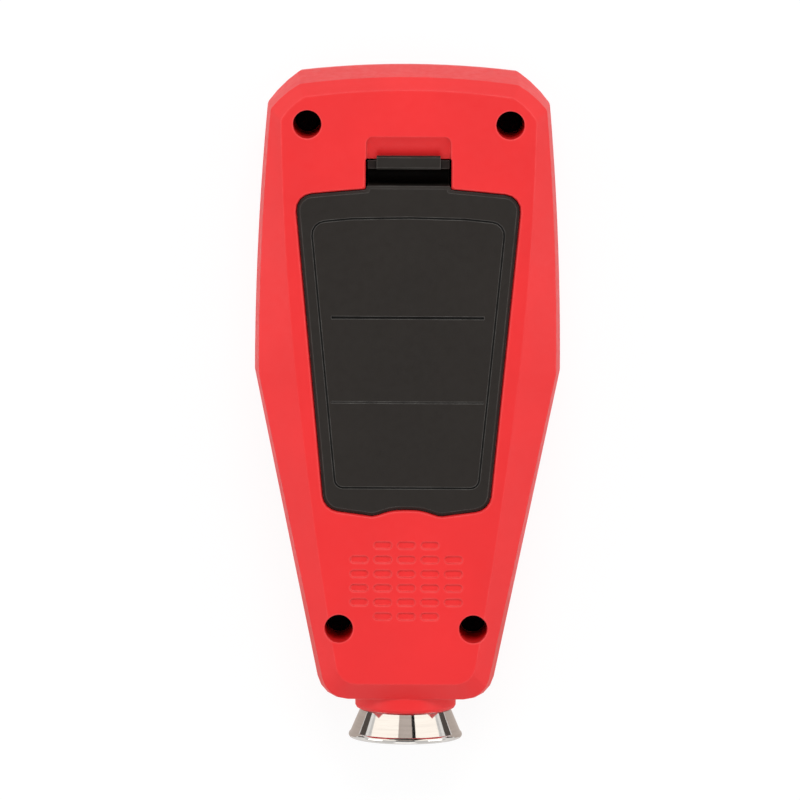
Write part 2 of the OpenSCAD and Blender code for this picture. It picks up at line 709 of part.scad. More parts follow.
// One cell from height y, its button towards +Y or -Y
module cell(x, y, way) {
    translate([x, y + cell_l / 2, cell_z]) rotate([way > 0 ? -90 : 90, 0, 0])
        translate([0, 0, -cell_l / 2]) rotate_extrude() polygon([[0, 0], [cell_d / 2 - 0.5, 0],
            [cell_d / 2, 0.5], [cell_d / 2, cell_l - 1.5], [cell_d / 2 - 0.6, cell_l - 0.9],
            [1.9, cell_l - 0.9], [1.9, cell_l - 0.2], [1.7, cell_l], [0, cell_l]]);
}

module battery_left() {
    color([0.75, 0.76, 0.78]) cell(-cell_x, cell_left_y, 1);
}

module battery_right() {
    color([0.75, 0.76, 0.78]) cell(cell_x, cell_right_y, -1);
}

// Contact springs press on the flat ends of the cells
module spring_left() {
    color(steel) wire(coil(-cell_x, cell_z, bay_end_y + contact_t + spring_wire / 2,
        cell_left_y - spring_wire / 2, spring_wide, spring_narrow, spring_turns), spring_wire / 2);
}

module spring_right() {
    color(steel) wire(coil(cell_x, cell_z, bay_head_y - contact_t - spring_wire / 2,
        cell_right_y + cell_l + spring_wire / 2, spring_wide, spring_narrow, spring_turns), spring_wire / 2);
}

module contact_link() {
    color(steel) {
        block(-cell_x - contact_w / 2, cell_x + contact_w / 2, bay_head_y - contact_t, bay_head_y,
            cell_z - contact_down, cell_z + contact_up);
        translate([-cell_x, bay_head_y - plate_room, cell_z]) rotate([-90, 0, 0])
            cylinder(d = button_d, h = plate_room, $fn = 32);
    }
}

// Plate behind a cell with a tail down to the board
module end_contact(x) {
    block(x - contact_w / 2, x + contact_w / 2, bay_end_y, bay_end_y + contact_t,
        tray_floor_z + 0.1, cell_z + contact_up);
    block(x - tail_w / 2, x + tail_w / 2, bay_end_y, bay_end_y + contact_t,
        board_back_z, tray_floor_z + 0.2);
}

module contact_minus() {
    color(steel) end_contact(-cell_x);
}

module contact_plus() {
    color(steel) {
        end_contact(cell_x);
        translate([cell_x, bay_end_y, cell_z]) rotate([-90, 0, 0])
            cylinder(d = button_d, h = plate_room, $fn = 32);
    }
}

// Circuit board and what it carries
module main_board() {
    color([0.05, 0.30, 0.16]) difference() {
        translate([0, 0, board_z]) linear_extrude(board_t) intersection() {
            polygon(ring(seam_path, wall + 0.9));
            translate([-case_w, board_end_y]) square([2 * case_w, board_top_y - board_end_y]);
        }
        for (p = posts) translate([p[0], p[1], 0]) cylinder(d = post_screw_d + 0.3, h = case_d);
    }
}

module board_chips() {
    color([0.08, 0.08, 0.09]) for (chip = chips)
        block(chip[0] - chip[2] / 2, chip[0] + chip[2] / 2, waist_y + chip[1] - chip[3] / 2,
            waist_y + chip[1] + chip[3] / 2, board_back_z, board_back_z + chip[4]);
}

module key_switches() {
    color([0.16, 0.16, 0.17]) key_places() {
        block(-switch_w / 2, switch_w / 2, -switch_w / 2, switch_w / 2, switch_face_z + 0.5, board_z);
        translate([0, 0, switch_face_z]) cylinder(d = plunger_d, h = 0.6, $fn = 32);
    }
}

module buzzer() {
    color([0.07, 0.07, 0.07])
        translate([buzzer_x, board_end_y + buzzer_gap + buzzer_d / 2, board_back_z]) difference() {
            cylinder(d = buzzer_d, h = buzzer_h);
            translate([0, 0, buzzer_h - 1]) cylinder(d = buzzer_d / 5, h = 2, $fn = 32);
        }
}

module probe_socket() {
    color([0.85, 0.83, 0.76]) difference() {
        block(socket_x - socket_w / 2, socket_x + socket_w / 2, board_end_y + socket_in,
            board_end_y + socket_in + socket_l, board_back_z, board_back_z + socket_h);
        translate([socket_x, board_end_y, socket_bore_z]) rotate([-90, 0, 0])
            cylinder(d = socket_bore, h = socket_in + socket_l / 2, $fn = 32);
    }
}

// Screws: a round head with a cross recess and a plain shank
module screw(d, l, head_d, head_h) {
    difference() {
        union() {
            translate([0, 0, -l]) cylinder(d = d, h = l + 0.1, $fn = 32);
            cylinder(d = head_d, h = head_h - 0.5, $fn = 48);
            translate([0, 0, head_h - 0.5]) cylinder(d1 = head_d, d2 = head_d - 0.8, h = 0.5, $fn = 48);
        }
        for (w = [0, 90]) rotate([0, 0, w])
            block(-head_d * 0.3, head_d * 0.3, -head_d * 0.07, head_d * 0.07, head_h * 0.45, head_h + 1);
    }
}

module case_screws() {
    color([0.12, 0.12, 0.13]) for (p = wells) translate([p[0], p[1], screw_seat_z])
        screw(screw_d, well_floor_t + screw_reach - screw_end_gap, screw_head_d, screw_head_h);
}

module board_screws() {
    color(steel) for (p = posts) translate([p[0], p[1], board_back_z])
        screw(post_screw_d, board_t + 3, post_head_d, post_head_h);
}

// Display behind its lens
module lcd_panel() {
    color([0.45, 0.50, 0.44]) translate([0, display_y, lcd_z]) linear_extrude(lcd_t)
        square([lcd_w, lcd_h], center = true);
}

module lcd_backlight() {
    color([0.92, 0.93, 0.90]) translate([0, display_y, lcd_z + lcd_t]) linear_extrude(light_t)
        square([lcd_w - 1, lcd_h - 1], center = true);
}

module lcd_frame() {
    color([0.14, 0.14, 0.15]) translate([0, display_y, floor_z + slack]) difference() {
        linear_extrude(board_z - floor_z - slack) difference() {
            square([lcd_w + 2 * lcd_frame_t, lcd_h + 2 * lcd_frame_t], center = true);
            square([lcd_w + 0.1, lcd_h + 0.1], center = true);
        }
        for (w = [0 : 1]) rotate([0, 0, 180 * w])
            block(-4, 4, lcd_h / 2 - 1, lcd_h / 2 + 3, lcd_t + light_t, 20);
    }
}

module display_lens() {
    color([0.20, 0.22, 0.24]) translate([0, display_y, recess_d - 1]) linear_extrude(1) slab(lens_w, lens_h, 2);
}

module face_panel() {
    color([0.13, 0.13, 0.14]) difference() {
        translate([0, 0, recess_d - panel_t]) linear_extrude(panel_t) polygon(ring(seam_path, rim_w + 0.12));
        translate([0, display_y, -1]) linear_extrude(case_d) slab(lens_w + 0.2, lens_h + 0.2, 2.1);
        key_places() translate([0, 0, -1]) linear_extrude(case_d)
            slab(key_w + 2 * key_gap, key_h + 2 * key_gap, 2 + key_gap);
    }
}

// Keys: a cap through the panel and a flange behind the front wall
module at_key(col, row) {
    translate([col * key_pitch_x / 2, row == 1 ? key_row_1 : key_row_2, 0]) children();
}

module key_places() {
    for (col = [-1, 1], row = [1, 2]) at_key(col, row) children();
}

module key_cap() {
    translate([0, 0, key_face_z + 0.3]) linear_extrude(key_back_z - key_face_z - 0.3) slab(key_w, key_h, 2);
    translate([0, 0, key_face_z]) linear_extrude(0.4) slab(key_w - 0.5, key_h - 0.5, 1.75);
    translate([0, 0, floor_z + slack]) linear_extrude(key_flange_t)
        slab(key_w + 2 * key_flange, key_h + 2 * key_flange, 2);
}

module key_mark(h = 0.15) {
    translate([0, 0, key_face_z - 1]) linear_extrude(1 + h) children();
}

module up_key() {
    color([0.55, 0.56, 0.57]) at_key(1, 1) difference() {
        key_cap();
        key_mark() polygon([[-2, -1.4], [2, -1.4], [0, 1.9]]);
    }
}

module down_key() {
    color([0.55, 0.56, 0.57]) at_key(-1, 1) difference() {
        key_cap();
        key_mark() polygon([[-2, 1.4], [0, -1.9], [2, 1.4]]);
    }
}

module mode_key() {
    color([0.55, 0.56, 0.57]) at_key(1, 2) difference() {
        key_cap();
        for (y = [-1.3, 0, 1.3]) key_mark() translate([0, y]) square([3.8, 0.55], center = true);
    }
}

module power_key() {
    color([0.75, 0.16, 0.14]) at_key(-1, 2) difference() {
        key_cap();
        key_mark() difference() {
            circle(1.9, $fn = 48);
            circle(1.4, $fn = 48);
            translate([0, 1.6]) square([1.5, 1.6], center = true);
        }
        key_mark() translate([0, 1.3]) square([0.5, 2], center = true);
    }
}

// Probe: turned shroud held in the case, and the sensor that slides in it
module probe_shroud() {
    r = skirt_d / 2;
    color([0.80, 0.81, 0.83]) turned() polygon(concat(
        [[core_d / 2 + 0.08, shelf_y], [r - 3.4, shelf_y], [r - 1.3, foot_y + 0.25], [r - 1.05, foot_y],
         [r - roll_r, foot_y]],
        [for (i = [1 : roll_steps]) let (w = -90 + i * roll_turn / roll_steps)
            [r - roll_r + roll_r * cos(w), foot_y + roll_r + roll_r * sin(w)]],
        [[r - 0.32, foot_y + 1.1], [cone_top_r, lip_y - slack], [tube_d / 2, lip_y - slack],
         [tube_d / 2, flange_y], [flange_d / 2, flange_y], [flange_d / 2, flange_y + flange_t],
         [tube_d / 2, flange_y + flange_t], [tube_d / 2, neck_y], [neck_d / 2, neck_y],
         [neck_d / 2, tube_end_y], [neck_bore_d / 2, tube_end_y], [neck_bore_d / 2, neck_y - 1.5],
         [chamber_d / 2, neck_y - 1.5], [chamber_d / 2, chamber_y], [core_d / 2 + 0.08, chamber_y]]));
}

module probe_cap() {
    color([0.20, 0.20, 0.21]) turned() polygon([[cap_bore / 2, spring_end_y],
        [neck_bore_d / 2 - slack, spring_end_y], [neck_bore_d / 2 - slack, tube_end_y],
        [neck_d / 2, tube_end_y], [neck_d / 2, tube_end_y + cap_t], [cap_bore / 2, tube_end_y + cap_t]]);
}

module probe_leads() {
    start = [0, spring_end_y + 0.3, seam_z];
    finish = [socket_x, board_end_y + socket_in + 0.6, socket_bore_z];
    bend_1 = start + [0, 8, 0];
    bend_2 = finish - [0, 4.5, 0];
    color([0.09, 0.09, 0.10]) wire([for (i = [0 : 14]) let (t = i / 14, s = 1 - t)
        start * s * s * s + bend_1 * 3 * t * s * s + bend_2 * 3 * t * t * s + finish * t * t * t], lead_d / 2, 10);
}

module probe_spring() {
    color(steel) wire(coil(0, seam_z, bobbin_y + bobbin_l + 0.35, spring_end_y - 0.35, 4, 4, 5), 0.35);
}

module sensor_core() {
    r = core_d / 2;
    color(steel) turned() polygon([[0, tip_y + 0.5], [r - 1.2, tip_y + 0.5], [r - 0.4, tip_y + 0.75],
        [r, tip_y + 1.3], [r, bobbin_y + bobbin_l], [0, bobbin_y + bobbin_l]]);
}

module sensor_tip() {
    color([0.45, 0.46, 0.48]) turned() polygon(concat([[0, tip_y + 0.5]],
        [for (i = [0 : 6]) let (w = -i * 15) [1.5 * cos(w), tip_y + 0.5 + 0.5 * sin(w)]]));
}

module sensor_bobbin() {
    color([0.88, 0.86, 0.80]) turned() polygon([[core_d / 2, bobbin_y], [bobbin_d / 2, bobbin_y],
        [bobbin_d / 2, bobbin_y + bobbin_flange_t], [hub_d / 2, bobbin_y + bobbin_flange_t],
        [hub_d / 2, bobbin_y + bobbin_l - bobbin_flange_t],
        [bobbin_d / 2, bobbin_y + bobbin_l - bobbin_flange_t],
        [bobbin_d / 2, bobbin_y + bobbin_l], [core_d / 2, bobbin_y + bobbin_l]]);
}

module sensor_coil() {
    color([0.72, 0.42, 0.20]) turned() polygon([[hub_d / 2, bobbin_y + bobbin_flange_t],
        [coil_d / 2, bobbin_y + bobbin_flange_t], [coil_d / 2, bobbin_y + bobbin_l - bobbin_flange_t],
        [hub_d / 2, bobbin_y + bobbin_l - bobbin_flange_t]]);
}

rear_cover();
front_cover();
battery_cover();
battery_tray();
battery_left();
battery_right();
spring_left();
spring_right();
contact_link();
contact_minus();
contact_plus();
main_board();
board_chips();
key_switches();
buzzer();
probe_socket();
board_screws();
case_screws();
lcd_panel();
lcd_backlight();
lcd_frame();
display_lens();
face_panel();
up_key();
down_key();
mode_key();
power_key();
probe_shroud();
probe_cap();
probe_leads();
probe_spring();
sensor_core();
sensor_tip();
sensor_bobbin();
sensor_coil();
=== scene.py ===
"""Looks for the coating thickness gauge: materials, studio light and the camera of the photograph."""
import math

import bmesh
import bpy
from mathutils import Matrix, Vector


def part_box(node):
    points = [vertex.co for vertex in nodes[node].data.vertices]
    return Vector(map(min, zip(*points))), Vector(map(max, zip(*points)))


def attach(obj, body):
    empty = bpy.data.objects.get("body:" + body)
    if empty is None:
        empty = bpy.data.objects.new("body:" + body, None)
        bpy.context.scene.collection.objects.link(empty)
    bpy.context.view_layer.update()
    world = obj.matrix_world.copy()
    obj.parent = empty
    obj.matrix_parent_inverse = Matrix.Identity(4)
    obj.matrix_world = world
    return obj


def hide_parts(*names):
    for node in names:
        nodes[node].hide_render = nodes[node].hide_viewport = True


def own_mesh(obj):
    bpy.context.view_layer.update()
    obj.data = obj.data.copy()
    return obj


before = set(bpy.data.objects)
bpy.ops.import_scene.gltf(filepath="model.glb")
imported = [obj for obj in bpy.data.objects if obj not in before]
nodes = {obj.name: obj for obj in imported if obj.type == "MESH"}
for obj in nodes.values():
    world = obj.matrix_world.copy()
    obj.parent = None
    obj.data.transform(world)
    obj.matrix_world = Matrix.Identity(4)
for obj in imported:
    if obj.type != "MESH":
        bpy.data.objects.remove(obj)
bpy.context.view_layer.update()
scene = bpy.context.scene
scene.view_settings.view_transform = "Standard"

MM = 0.001

# Nearly all values of a noise texture lie between these two
NOISE_LOW = 0.3
NOISE_HIGH = 0.7

# Strength at which the floor and the backdrop show as plain white
PLAIN_WHITE = 1.04

# The lamps are aimed here
GAUGE_MIDDLE = (0.0, 0.0, 0.01)


# Node helpers

def rgba(colour):
    return (*colour, 1.0)


def grey(value):
    return (value, value, value)


def shade(colour, amount):
    """The colour made darker or paler, each channel held to one."""
    return tuple(min(1.0, channel * amount) for channel in colour)


def empty_tree(owner):
    """The node tree of a material or world, with nothing in it."""
    owner.use_nodes = True
    owner.node_tree.nodes.clear()
    return owner.node_tree


def add(tree, kind, **values):
    """Adds one node; values set its properties or its input sockets."""
    node = tree.nodes.new(kind)
    for key, value in values.items():
        if hasattr(node, key):
            setattr(node, key, value)
        else:
            node.inputs[key.replace("_", " ")].default_value = value
    return node


def link(tree, out_socket, in_socket):
    tree.links.new(out_socket, in_socket)


def new_material(name):
    """A node material that holds only its Principled shader."""
    mat = bpy.data.materials.new(name)
    tree = empty_tree(mat)
    out = tree.nodes.new("ShaderNodeOutputMaterial")
    shader = tree.nodes.new("ShaderNodeBsdfPrincipled")
    link(tree, shader.outputs["BSDF"], out.inputs["Surface"])
    return mat, tree, shader


def object_coords(tree):
    return tree.nodes.new("ShaderNodeTexCoord").outputs["Object"]


def noise(tree, coords, scale, detail=2.0, rough=0.5):
    node = add(tree, "ShaderNodeTexNoise", Scale=scale, Detail=detail, Roughness=rough)
    link(tree, coords, node.inputs["Vector"])
    return node.outputs["Fac"]


def maths(tree, operation, first, second):
    """One calculation with the values of two sockets."""
    node = add(tree, "ShaderNodeMath", operation=operation)
    link(tree, first, node.inputs[0])
    link(tree, second, node.inputs[1])
    return node.outputs["Value"]


def map_range(tree, value, start, stop, low=0.0, high=1.0, curve="LINEAR"):
    """Maps the range from start to stop onto the one from low to high."""
    node = add(tree, "ShaderNodeMapRange", interpolation_type=curve,
               From_Min=start, From_Max=stop, To_Min=low, To_Max=high)
    link(tree, value, node.inputs["Value"])
    return node.outputs["Result"]


def spread(tree, factor, low, high):
    """Maps a noise factor to a range of plain numbers."""
    return map_range(tree, factor, NOISE_LOW, NOISE_HIGH, low, high)


def ramp(tree, factor, stops, stepped=False):
    """Colour ramp; stops are (position, colour), and stepped ones change without a blend."""
    node = tree.nodes.new("ShaderNodeValToRGB")
    band = node.color_ramp
    if stepped:
        band.interpolation = "CONSTANT"
    link(tree, factor, node.inputs["Fac"])
    while len(band.elements) < len(stops):
        band.elements.new(0.5)
    for element, (place, colour) in zip(band.elements, stops):
        element.position = place
        element.color = rgba(colour)
    return node.outputs["Color"]


def mottle(tree, factor, colour, vary):
    """A colour that drifts a little darker and paler with a noise factor."""
    return ramp(tree, factor, [(NOISE_LOW, shade(colour, 1 - vary)), (NOISE_HIGH, shade(colour, 1 + vary))])


def relief(tree, shader, height, strength, depth, edge):
    """Fine surface relief over softly rounded edges."""
    bump = add(tree, "ShaderNodeBump", Strength=strength, Distance=depth)
    link(tree, height, bump.inputs["Height"])
    if edge > 0:
        soft = add(tree, "ShaderNodeBevel", samples=6, Radius=edge)
        link(tree, soft.outputs["Normal"], bump.inputs["Normal"])
    link(tree, bump.outputs["Normal"], shader.inputs["Normal"])


def mix_shaders(tree, share, first, second):
    """The first shader where the share is nought, the second where it is one."""
    node = tree.nodes.new("ShaderNodeMixShader")
    link(tree, share, node.inputs["Fac"])
    link(tree, first, node.inputs[1])
    link(tree, second, node.inputs[2])
    return node.outputs["Shader"]


# Kinds of material

def edge_highlight(tree, coords, tint, highlight, reach, full):
    """Blends a painted highlight, a paler and patchy tint, into the colour along the edges; full is the
    likeness of full highlight.
    """
    highlight_start = 0.995
    rounded = add(tree, "ShaderNodeBevel", samples=8, Radius=reach)
    flat = tree.nodes.new("ShaderNodeNewGeometry")
    likeness = add(tree, "ShaderNodeVectorMath", operation="DOT_PRODUCT")
    link(tree, rounded.outputs["Normal"], likeness.inputs[0])
    link(tree, flat.outputs["Normal"], likeness.inputs[1])
    highlight_share = map_range(tree, likeness.outputs["Value"], highlight_start, full)
    patches = spread(tree, noise(tree, coords, scale=500.0, detail=3.0), 0.35, 1.0)
    blend = add(tree, "ShaderNodeMix", data_type="RGBA")
    link(tree, maths(tree, "MULTIPLY", highlight_share, patches), blend.inputs["Factor"])
    link(tree, tint, blend.inputs["A"])
    blend.inputs["B"].default_value = rgba(highlight)
    return blend.outputs["Result"]


def dark_grooves(tree, tint, reach):
    """Painted shade, with dust, that gathers in narrow grooves."""
    hollow = add(tree, "ShaderNodeAmbientOcclusion", samples=8, only_local=True, Distance=reach)
    light_left = map_range(tree, hollow.outputs["AO"], start=0.50, stop=0.82, low=0.02)
    deeper = add(tree, "ShaderNodeMix", data_type="RGBA", blend_type="MULTIPLY")
    deeper.inputs["Factor"].default_value = 1.0
    link(tree, tint, deeper.inputs["A"])
    link(tree, light_left, deeper.inputs["B"])
    return deeper.outputs["Result"]


def plastic(name, colour, rough=0.45, grain_scale=4200.0, strength=0.25, depth=0.00004, edge=0.0002,
            vary=0.04, specular=0.5, highlight=None, highlight_reach=1.6, full=0.93, groove=0.0):
    """Moulded plastic: slightly uneven colour and gloss, fine spark-eroded texture, painted highlight on the
    edges and painted shade in grooves.
    """
    mat, tree, shader = new_material(name)
    coords = object_coords(tree)
    tint = mottle(tree, noise(tree, coords, scale=60.0, detail=3.0), colour, vary)
    # Painted highlight along the edges
    if highlight:
        tint = edge_highlight(tree, coords, tint, highlight, edge * highlight_reach, full)
    # Painted shade, with dust, in narrow grooves
    if groove > 0:
        tint = dark_grooves(tree, tint, groove)
    link(tree, tint, shader.inputs["Base Color"])
    dullness = spread(tree, noise(tree, coords, scale=900.0), rough - 0.04, rough + 0.05)
    link(tree, dullness, shader.inputs["Roughness"])
    shader.inputs["Specular IOR Level"].default_value = specular
    grain = noise(tree, coords, grain_scale, detail=3.0, rough=0.6)
    relief(tree, shader, grain, strength, depth, edge)
    return mat


def metal(name, colour, rough, scale=(400.0, 400.0, 400.0), strength=0.05, depth=0.00001, edge=0.00008,
          vary=0.05):
    """Metal with fine tool marks; scale stretches them along an axis."""
    mat, tree, shader = new_material(name)
    stretch = add(tree, "ShaderNodeMapping", Scale=scale)
    link(tree, object_coords(tree), stretch.inputs["Vector"])
    marks = noise(tree, stretch.outputs["Vector"], scale=1.0, detail=4.0, rough=0.6)
    link(tree, mottle(tree, marks, colour, vary), shader.inputs["Base Color"])
    link(tree, spread(tree, marks, rough * 0.8, rough * 1.25), shader.inputs["Roughness"])
    shader.inputs["Metallic"].default_value = 1.0
    relief(tree, shader, marks, strength, depth, edge)
    return mat


def cell_material(name, minus_end, plus_end):
    """Cell jacket: dark film with a coppery band at the plus end and bare metal at both ends."""
    bare = (0.55, 0.55, 0.56)
    film = (0.018, 0.018, 0.020)
    ring = (0.50, 0.50, 0.50)
    band = (0.52, 0.27, 0.10)
    # Where each begins, as a share of the cell's length from the minus end
    film_start = 0.018
    ring_start = 0.66
    band_start = 0.672
    cap_start = 0.958
    mat, tree, shader = new_material(name)
    coords = object_coords(tree)
    split = tree.nodes.new("ShaderNodeSeparateXYZ")
    link(tree, coords, split.inputs["Vector"])
    share = map_range(tree, split.outputs["Y"], minus_end, plus_end)
    tints = [(0.0, bare), (film_start, film), (ring_start, ring), (band_start, band), (cap_start, bare)]
    link(tree, ramp(tree, share, tints, stepped=True), shader.inputs["Base Color"])
    shine = [(0.0, grey(1.0)), (film_start, grey(0.0)), (band_start, grey(0.75)), (cap_start, grey(1.0))]
    link(tree, ramp(tree, share, shine, stepped=True), shader.inputs["Metallic"])
    link(tree, spread(tree, noise(tree, coords, scale=700.0), 0.22, 0.32), shader.inputs["Roughness"])
    return mat


def board_material():
    """Solder mask with faint copper tracks."""
    mask_dark = (0.010, 0.090, 0.035)
    mask_pale = (0.012, 0.105, 0.042)
    track = (0.030, 0.170, 0.075)
    mat, tree, shader = new_material("board_green")
    coords = object_coords(tree)
    brick = add(tree, "ShaderNodeTexBrick", Scale=260.0, Mortar_Size=0.03,
                Color1=rgba(mask_dark), Color2=rgba(mask_pale), Mortar=rgba(track))
    link(tree, coords, brick.inputs["Vector"])
    link(tree, brick.outputs["Color"], shader.inputs["Base Color"])
    link(tree, spread(tree, noise(tree, coords, scale=500.0), 0.28, 0.38), shader.inputs["Roughness"])
    return mat


def glass_material(name, colour, alpha, rough):
    """Clear or tinted sheet with faint haze."""
    mat, tree, shader = new_material(name)
    coords = object_coords(tree)
    tints = [(NOISE_LOW, shade(colour, 0.96)), (NOISE_HIGH, colour)]
    link(tree, ramp(tree, noise(tree, coords, scale=80.0), tints), shader.inputs["Base Color"])
    dullness = spread(tree, noise(tree, coords, scale=400.0), rough, rough + 0.04)
    link(tree, dullness, shader.inputs["Roughness"])
    shader.inputs["Alpha"].default_value = alpha
    shader.inputs["Coat Weight"].default_value = 0.6
    return mat


def paint(node_names, mat):
    """Gives CAD nodes a finished material."""
    for name in node_names:
        mesh = nodes[name].data
        if not mesh.materials:
            mesh.materials.append(mat)
        for i in range(len(mesh.materials)):
            mesh.materials[i] = mat


# Smooth shading of the solids

def soft_shading():
    """Node group that joins the split facets of a solid and keeps only its real edges sharp."""
    join_within = 0.000002
    sharp_angle = math.radians(14.0)
    group = bpy.data.node_groups.new("soft_shading", "GeometryNodeTree")
    group.interface.new_socket("Geometry", in_out="INPUT", socket_type="NodeSocketGeometry")
    group.interface.new_socket("Geometry", in_out="OUTPUT", socket_type="NodeSocketGeometry")
    start = group.nodes.new("NodeGroupInput")
    bare = add(group, "GeometryNodeRemoveAttribute", Name="custom_normal")
    joined = add(group, "GeometryNodeMergeByDistance", Distance=join_within)
    faces = add(group, "GeometryNodeSetShadeSmooth", domain="FACE")
    edges = add(group, "GeometryNodeSetShadeSmooth", domain="EDGE")
    turn = group.nodes.new("GeometryNodeInputMeshEdgeAngle")
    sharp = add(group, "FunctionNodeCompare", data_type="FLOAT", operation="GREATER_THAN")
    sharp.inputs["B"].default_value = sharp_angle
    link(group, turn.outputs["Unsigned Angle"], sharp.inputs["A"])
    creases = add(group, "GeometryNodeSetShadeSmooth", domain="EDGE")
    creases.inputs["Shade Smooth"].default_value = False
    link(group, sharp.outputs["Result"], creases.inputs["Selection"])
    end = group.nodes.new("NodeGroupOutput")
    steps = [start, bare, joined, faces, edges, creases, end]
    for before, after in zip(steps, steps[1:]):
        link(group, before.outputs[0], after.inputs[0])
    return group


smooth_group = soft_shading()


def smooth(piece):
    """Gives a piece the smooth shading."""
    modifier = piece.modifiers.new("soft_shading", "NODES")
    modifier.node_group = smooth_group


for cad_object in nodes.values():
    smooth(cad_object)


# Plastics

# Red plastic with a painted highlight along its edges
red = plastic("red_plastic", (0.84, 0.023, 0.025), rough=0.46, strength=0.20, edge=0.00035, specular=0.32,
              highlight=(0.92, 0.060, 0.062))
# Dark plastic with a painted highlight along its edges and painted shade in its grooves
charcoal = plastic("dark_plastic", (0.0160, 0.0125, 0.0102), rough=0.50, strength=0.30, edge=0.00012,
                   vary=0.06, specular=0.24, highlight=(0.105, 0.099, 0.092), highlight_reach=1.8, full=0.962,
                   groove=0.0006)
black = plastic("black_plastic", (0.010, 0.010, 0.010), rough=0.55, edge=0.0001, vary=0.08, specular=0.3)
pale = plastic("pale_plastic", (0.66, 0.64, 0.56), rough=0.5, edge=0.0001)
panel = plastic("panel_plastic", (0.020, 0.020, 0.022), rough=0.38, strength=0.12, edge=0.0001)
grey_key = plastic("grey_key", (0.26, 0.265, 0.27), rough=0.6, edge=0.0003)
red_key = plastic("red_key", (0.50, 0.022, 0.018), rough=0.6, edge=0.0003)
lead = plastic("lead_jacket", (0.010, 0.010, 0.010), rough=0.4, edge=0.0)
paint(["rear_cover", "front_cover"], red)
paint(["battery_cover"], charcoal)
paint(["battery_tray", "board_chips", "key_switches", "buzzer", "lcd_frame", "probe_cap"], black)
paint(["probe_socket", "lcd_backlight", "sensor_bobbin"], pale)
paint(["face_panel"], panel)
paint(["up_key", "down_key", "mode_key"], grey_key)
paint(["power_key"], red_key)
paint(["probe_leads"], lead)


# Metals; the blackened screws have a dull coat and are made like plastic

chrome = metal("chrome_shroud", (0.66, 0.635, 0.605), 0.05, scale=(150.0, 2500.0, 150.0),
               strength=0.03, edge=0.0001)
core = metal("core_steel", (0.52, 0.53, 0.54), 0.25, scale=(300.0, 4000.0, 300.0))
tip = metal("tip_metal", (0.40, 0.40, 0.41), 0.12)
spring = metal("spring_steel", (0.62, 0.62, 0.60), 0.22, edge=0.0)
zinc = metal("zinc_steel", (0.60, 0.61, 0.60), 0.30)
copper = metal("copper_wire", (0.60, 0.24, 0.09), 0.28, scale=(100.0, 9000.0, 100.0),
               strength=0.4, depth=0.00005)
oxide = plastic("dark_steel", (0.004, 0.004, 0.004), rough=0.6, grain_scale=2500.0, edge=0.00008,
                specular=0.12)
paint(["probe_shroud"], chrome)
paint(["sensor_core"], core)
paint(["sensor_tip"], tip)
paint(["spring_left", "spring_right", "probe_spring"], spring)
paint(["contact_link", "contact_minus", "contact_plus"], spring)
paint(["board_screws"], zinc)
paint(["sensor_coil"], copper)
paint(["case_screws"], oxide)


# Cells, circuit board and display

left_low, left_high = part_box("battery_left")
right_low, right_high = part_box("battery_right")
paint(["battery_left"], cell_material("cell_jacket_left", minus_end=left_low.y, plus_end=left_high.y))
paint(["battery_right"], cell_material("cell_jacket_right", minus_end=right_high.y, plus_end=right_low.y))
paint(["main_board"], board_material())
paint(["display_lens"], glass_material("clear_lens", (0.72, 0.76, 0.78), alpha=0.22, rough=0.04))
paint(["lcd_panel"], glass_material("lcd_glass", (0.20, 0.25, 0.19), alpha=1.0, rough=0.12))


def new_object(name, data):
    """A new object in the scene."""
    item = bpy.data.objects.new(name, data)
    scene.collection.objects.link(item)
    return item


# The probe spring

def squeezed_spring():
    """A copy of the spring, carried with the case, that stands in for the hidden original."""
    piece = new_object("squeezed_spring", nodes["probe_spring"].data.copy())
    smooth(piece)
    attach(piece, "case")
    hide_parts("probe_spring")
    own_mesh(piece)


squeezed_spring()


# Floor, backdrop and light

def floor_material():
    """White floor: a faint shadow near the gauge, a deeper one in reflections, none further out."""
    shadow_radius = 0.05
    white_radius = 0.16
    seen_share = 0.86
    mirrored_share = 0.10
    mat = bpy.data.materials.new("floor_white")
    tree = empty_tree(mat)
    rays = tree.nodes.new("ShaderNodeLightPath").outputs
    seen = maths(tree, "MAXIMUM", rays["Is Camera Ray"], rays["Is Transmission Ray"])
    length = add(tree, "ShaderNodeVectorMath", operation="LENGTH")
    link(tree, object_coords(tree), length.inputs[0])
    shares = []
    for test, near_share in ((seen, seen_share), (rays["Is Glossy Ray"], mirrored_share)):
        fade = map_range(tree, length.outputs["Value"], shadow_radius, white_radius, low=near_share,
                         curve="SMOOTHSTEP")
        shares.append(maths(tree, "MULTIPLY", test, fade))
    matt = add(tree, "ShaderNodeBsdfDiffuse", Color=rgba(grey(0.86)))
    white = add(tree, "ShaderNodeEmission", Strength=PLAIN_WHITE)
    share = maths(tree, "MAXIMUM", *shares)
    mixed = mix_shaders(tree, share, matt.outputs["BSDF"], white.outputs["Emission"])
    out = tree.nodes.new("ShaderNodeOutputMaterial")
    link(tree, mixed, out.inputs["Surface"])
    return mat


def make_floor():
    """A wide disc just under the gauge."""
    mesh = bpy.data.meshes.new("floor")
    bm = bmesh.new()
    bmesh.ops.create_circle(bm, cap_ends=True, cap_tris=False, segments=96, radius=6.0)
    bm.to_mesh(mesh)
    bm.free()
    floor = new_object("floor", mesh)
    floor.location = (0.0, 0.0, -0.00005)
    mesh.materials.append(floor_material())


